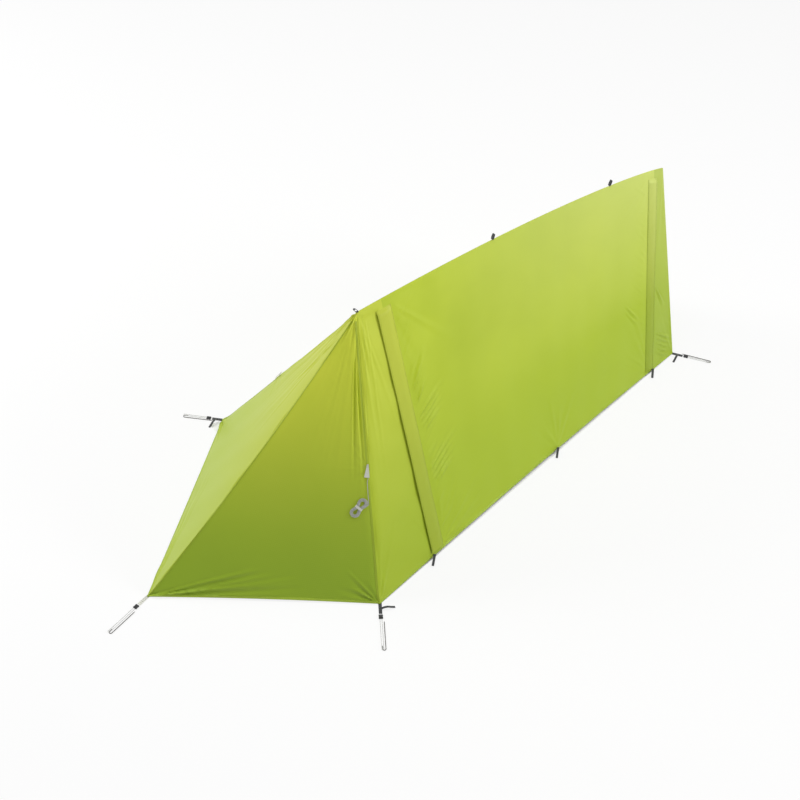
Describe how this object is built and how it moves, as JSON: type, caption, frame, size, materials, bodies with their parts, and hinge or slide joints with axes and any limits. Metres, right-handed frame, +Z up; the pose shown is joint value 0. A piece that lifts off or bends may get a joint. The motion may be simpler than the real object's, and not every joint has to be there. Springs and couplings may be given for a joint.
{
  "type": "backpacking tent",
  "caption": "Low ridge tent with a pointed nose, upright rear wall, roll-up side door under zip flaps, pegged cord tie-outs, inner poles and a tray floor.",
  "frame": {"origin": "on the ground under the middle of the sleeping body, on the underside of the floor", "axes": "+X runs along the ridge from the nose to the rear wall, +Z up, and the side door faces -Y"},
  "size_m": [3.486, 1.7645, 1.1561],
  "materials": {
    "lime_coated_ripstop": "coated ripstop nylon, lime green, slightly shiny",
    "grey_coated_floor_cloth": "heavier coated floor cloth, dark grey",
    "charcoal_webbing": "woven webbing, charcoal",
    "pale_grey_reflective_cord": "braided reflective guy cord and tape, pale grey",
    "olive_coil_zip": "nylon coil zip, olive",
    "black_acetal": "moulded black acetal",
    "anodised_pole_tube": "anodised aluminium tube, grey",
    "titanium_wire": "bare bent metal wire, grey"
  },
  "bodies": {
    "tent": {"bathtub_floor": "grey_coated_floor_cloth", "far_front_cord": "pale_grey_reflective_cord", "far_front_hem_loop": "charcoal_webbing", "far_front_peg": "titanium_wire", "far_front_webbing": "charcoal_webbing", "far_middle_hem_loop": "charcoal_webbing", "far_nose_panel": "lime_coated_ripstop", "far_rear_cord": "pale_grey_reflective_cord", "far_rear_hem_loop": "charcoal_webbing", "far_rear_peg": "titanium_wire", "far_rear_webbing": "charcoal_webbing", "far_seam_tab": "pale_grey_reflective_cord", "far_wall": "lime_coated_ripstop", "front_hub": "black_acetal", "front_peak_loop": "charcoal_webbing", "front_pole_lower": "anodised_pole_tube", "front_pole_upper": "anodised_pole_tube", "front_ridge_loop": "charcoal_webbing", "front_side_panel": "lime_coated_ripstop", "front_zip_chain": "olive_coil_zip", "guy_line_hank": "pale_grey_reflective_cord", "guy_line_tie": "charcoal_webbing", "near_front_cord": "pale_grey_reflective_cord", "near_front_hem_loop": "charcoal_webbing", "near_front_peg": "titanium_wire", "near_front_webbing": "charcoal_webbing", "near_nose_panel": "lime_coated_ripstop", "near_rear_cord": "pale_grey_reflective_cord", "near_rear_hem_loop": "charcoal_webbing", "near_rear_peg": "titanium_wire", "near_rear_webbing": "charcoal_webbing", "near_seam_tab": "pale_grey_reflective_cord", "nose_cord": "pale_grey_reflective_cord", "nose_peg": "titanium_wire", "nose_webbing": "pale_grey_reflective_cord", "rear_hub": "black_acetal", "rear_pole_lower": "anodised_pole_tube", "rear_pole_upper": "anodised_pole_tube", "rear_ridge_loop": "charcoal_webbing", "rear_side_panel": "lime_coated_ripstop", "rear_wall": "lime_coated_ripstop", "rear_zip_chain": "olive_coil_zip", "ridge_pole_front": "anodised_pole_tube", "ridge_pole_rear": "anodised_pole_tube", "ridge_strip": "lime_coated_ripstop"},
    "door": {"side_door": "lime_coated_ripstop", "front_zip_flap": "lime_coated_ripstop", "rear_zip_flap": "lime_coated_ripstop", "near_middle_hem_loop": "charcoal_webbing"},
    "front_zip_slider": {"front_zip_slider": "black_acetal"},
    "rear_zip_slider": {"rear_zip_slider": "black_acetal"},
    "nose_tensioner": {"nose_tensioner": "black_acetal"},
    "near_front_tensioner": {"near_front_tensioner": "black_acetal"},
    "far_front_tensioner": {"far_front_tensioner": "black_acetal"},
    "near_rear_tensioner": {"near_rear_tensioner": "black_acetal"},
    "far_rear_tensioner": {"far_rear_tensioner": "black_acetal"}
  },
  "joints": [
    {"name": "side_door_roll_up", "type": "hinge", "parent": "tent", "child": "door", "pos_m": [0.21393, -0.03026, 1.04998], "axis": [-0.9994, -0.0029, 0.0352], "range_deg": [0, 80]},
    {"name": "front_zip_slider_run", "type": "slide", "parent": "tent", "child": "front_zip_slider", "axis": [0.0795, 0.4805, 0.8734], "range_m": [-0.015, 1.085]},
    {"name": "rear_zip_slider_run", "type": "slide", "parent": "tent", "child": "rear_zip_slider", "axis": [0.1256, 0.3135, 0.9412], "range_m": [-0.015, 0.945]},
    {"name": "nose_tensioner_run", "type": "slide", "parent": "tent", "child": "nose_tensioner", "axis": [-0.9659, -0.259, 0], "range_m": [0, 0.08]},
    {"name": "near_front_tensioner_run", "type": "slide", "parent": "tent", "child": "near_front_tensioner", "axis": [-0.5798, -0.8147, 0], "range_m": [0, 0.08]},
    {"name": "far_front_tensioner_run", "type": "slide", "parent": "tent", "child": "far_front_tensioner", "axis": [-0.6899, 0.7239, 0], "range_m": [0, 0.05]},
    {"name": "near_rear_tensioner_run", "type": "slide", "parent": "tent", "child": "near_rear_tensioner", "axis": [0.5201, -0.8541, 0], "range_m": [0, 0.05]},
    {"name": "far_rear_tensioner_run", "type": "slide", "parent": "tent", "child": "far_rear_tensioner", "axis": [0.5201, 0.8541, 0], "range_m": [0, 0.05]}
  ]
}
